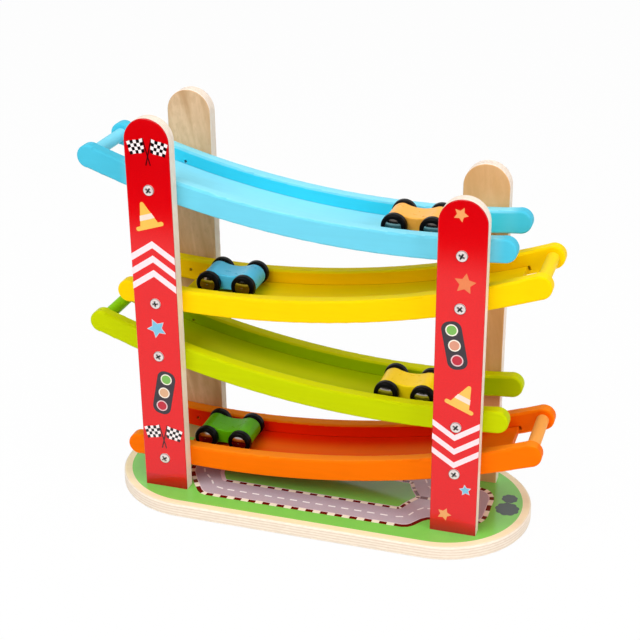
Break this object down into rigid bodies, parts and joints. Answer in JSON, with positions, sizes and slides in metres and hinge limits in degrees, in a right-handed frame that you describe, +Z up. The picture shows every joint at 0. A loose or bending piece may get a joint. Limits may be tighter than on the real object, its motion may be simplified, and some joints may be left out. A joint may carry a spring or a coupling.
{
  "type": "click clack track toy",
  "caption": "Wooden click clack track: curved ramps zigzag between tall plywood posts on a rounded base board, and small cars roll down each ramp and drop to the next.",
  "frame": {"origin": "middle of the base board's underside", "axes": "+Z up, +X along the board towards the shorter posts, -Y to the printed front that the picture shows"},
  "size_m": [0.4042, 0.156, 0.357],
  "materials": {
    "printed_base": "plywood with a printed grass and road top, clear edges",
    "red_post": "plywood with a glossy red print on its outer face",
    "blue_ramp": "satin sky blue paint on wood",
    "yellow_ramp": "satin yellow paint on wood",
    "green_ramp": "satin lime green paint on wood",
    "orange_ramp": "satin orange paint on wood",
    "screw_steel": "zinc-plated steel",
    "axle_steel": "bright drawn steel",
    "black_tyre": "black moulded wheel",
    "hub_chrome": "bright plated cap",
    "orange_car": "satin orange paint on wood",
    "blue_car": "satin blue paint on wood",
    "yellow_car": "satin yellow paint on wood",
    "green_car": "satin green paint on wood"
  },
  "bodies": {
    "track": {"base_board": "printed_base", "front_left_post": "red_post", "front_right_post": "red_post", "rear_left_post": "red_post", "rear_right_post": "red_post", "blue_front_rail": "blue_ramp", "blue_rear_rail": "blue_ramp", "blue_floor": "blue_ramp", "blue_end_bar": "blue_ramp", "yellow_front_rail": "yellow_ramp", "yellow_rear_rail": "yellow_ramp", "yellow_floor": "yellow_ramp", "yellow_end_bar": "yellow_ramp", "green_front_rail": "green_ramp", "green_rear_rail": "green_ramp", "green_floor": "green_ramp", "green_end_bar": "green_ramp", "orange_front_rail": "orange_ramp", "orange_rear_rail": "orange_ramp", "orange_floor": "orange_ramp", "orange_end_bar": "orange_ramp", "front_screws": "screw_steel", "rear_screws": "screw_steel", "base_screws": "screw_steel"},
    "orange_car": {"orange_car_body": "orange_car"},
    "orange_car_front_wheelset": {"orange_car_front_axle": "axle_steel", "orange_car_front_wheels": "black_tyre", "orange_car_front_hubs": "hub_chrome"},
    "orange_car_rear_wheelset": {"orange_car_rear_axle": "axle_steel", "orange_car_rear_wheels": "black_tyre", "orange_car_rear_hubs": "hub_chrome"},
    "blue_car": {"blue_car_body": "blue_car"},
    "blue_car_front_wheelset": {"blue_car_front_axle": "axle_steel", "blue_car_front_wheels": "black_tyre", "blue_car_front_hubs": "hub_chrome"},
    "blue_car_rear_wheelset": {"blue_car_rear_axle": "axle_steel", "blue_car_rear_wheels": "black_tyre", "blue_car_rear_hubs": "hub_chrome"},
    "yellow_car": {"yellow_car_body": "yellow_car"},
    "yellow_car_front_wheelset": {"yellow_car_front_axle": "axle_steel", "yellow_car_front_wheels": "black_tyre", "yellow_car_front_hubs": "hub_chrome"},
    "yellow_car_rear_wheelset": {"yellow_car_rear_axle": "axle_steel", "yellow_car_rear_wheels": "black_tyre", "yellow_car_rear_hubs": "hub_chrome"},
    "green_car": {"green_car_body": "green_car"},
    "green_car_front_wheelset": {"green_car_front_axle": "axle_steel", "green_car_front_wheels": "black_tyre", "green_car_front_hubs": "hub_chrome"},
    "green_car_rear_wheelset": {"green_car_rear_axle": "axle_steel", "green_car_rear_wheels": "black_tyre", "green_car_rear_hubs": "hub_chrome"}
  },
  "joints": [
    {"name": "orange_car_roll", "type": "hinge", "parent": "track", "child": "orange_car", "pos_m": [0.084, -0.00374, 1.061], "axis": [0, 1, 0], "range_deg": [-1.3, 17.5]},
    {"name": "orange_car_front_spin", "type": "hinge", "parent": "orange_car", "child": "orange_car_front_wheelset", "pos_m": [0.101, -0.00374, 0.27518], "axis": [0, 1, 0], "continuous": true},
    {"name": "orange_car_rear_spin", "type": "hinge", "parent": "orange_car", "child": "orange_car_rear_wheelset", "pos_m": [0.069, -0.00374, 0.27514], "axis": [0, 1, 0], "continuous": true},
    {"name": "blue_car_roll", "type": "hinge", "parent": "track", "child": "blue_car", "pos_m": [-0.084, 0.00374, 0.9875], "axis": [0, -1, 0], "range_deg": [-1.6, 17.3]},
    {"name": "blue_car_front_spin", "type": "hinge", "parent": "blue_car", "child": "blue_car_front_wheelset", "pos_m": [-0.098, 0.00374, 0.20162], "axis": [0, -1, 0], "continuous": true},
    {"name": "blue_car_rear_spin", "type": "hinge", "parent": "blue_car", "child": "blue_car_rear_wheelset", "pos_m": [-0.066, 0.00374, 0.20171], "axis": [0, -1, 0], "continuous": true},
    {"name": "yellow_car_roll", "type": "hinge", "parent": "track", "child": "yellow_car", "pos_m": [0.084, -0.0048, 0.909], "axis": [0, 1, 0], "range_deg": [-1.7, 17.2]},
    {"name": "yellow_car_front_spin", "type": "hinge", "parent": "yellow_car", "child": "yellow_car_front_wheelset", "pos_m": [0.0965, -0.0048, 0.1231], "axis": [0, 1, 0], "continuous": true},
    {"name": "yellow_car_rear_spin", "type": "hinge", "parent": "yellow_car", "child": "yellow_car_rear_wheelset", "pos_m": [0.0645, -0.0048, 0.12324], "axis": [0, 1, 0], "continuous": true},
    {"name": "green_car_roll", "type": "hinge", "parent": "track", "child": "green_car", "pos_m": [-0.084, 0, 0.836], "axis": [0, -1, 0], "range_deg": [-1, 17.8]},
    {"name": "green_car_front_spin", "type": "hinge", "parent": "green_car", "child": "green_car_front_wheelset", "pos_m": [-0.105, 0, 0.05028], "axis": [0, -1, 0], "continuous": true},
    {"name": "green_car_rear_spin", "type": "hinge", "parent": "green_car", "child": "green_car_rear_wheelset", "pos_m": [-0.073, 0, 0.05008], "axis": [0, -1, 0], "continuous": true}
  ],
  "couplings": [
    {"joint": "orange_car_front_spin", "follows": "orange_car_roll", "ratio": -74.486},
    {"joint": "orange_car_rear_spin", "follows": "orange_car_roll", "ratio": -74.486},
    {"joint": "blue_car_front_spin", "follows": "blue_car_roll", "ratio": -74.486},
    {"joint": "blue_car_rear_spin", "follows": "blue_car_roll", "ratio": -74.486},
    {"joint": "yellow_car_front_spin", "follows": "yellow_car_roll", "ratio": -74.486},
    {"joint": "yellow_car_rear_spin", "follows": "yellow_car_roll", "ratio": -74.486},
    {"joint": "green_car_front_spin", "follows": "green_car_roll", "ratio": -74.486},
    {"joint": "green_car_rear_spin", "follows": "green_car_roll", "ratio": -74.486}
  ]
}
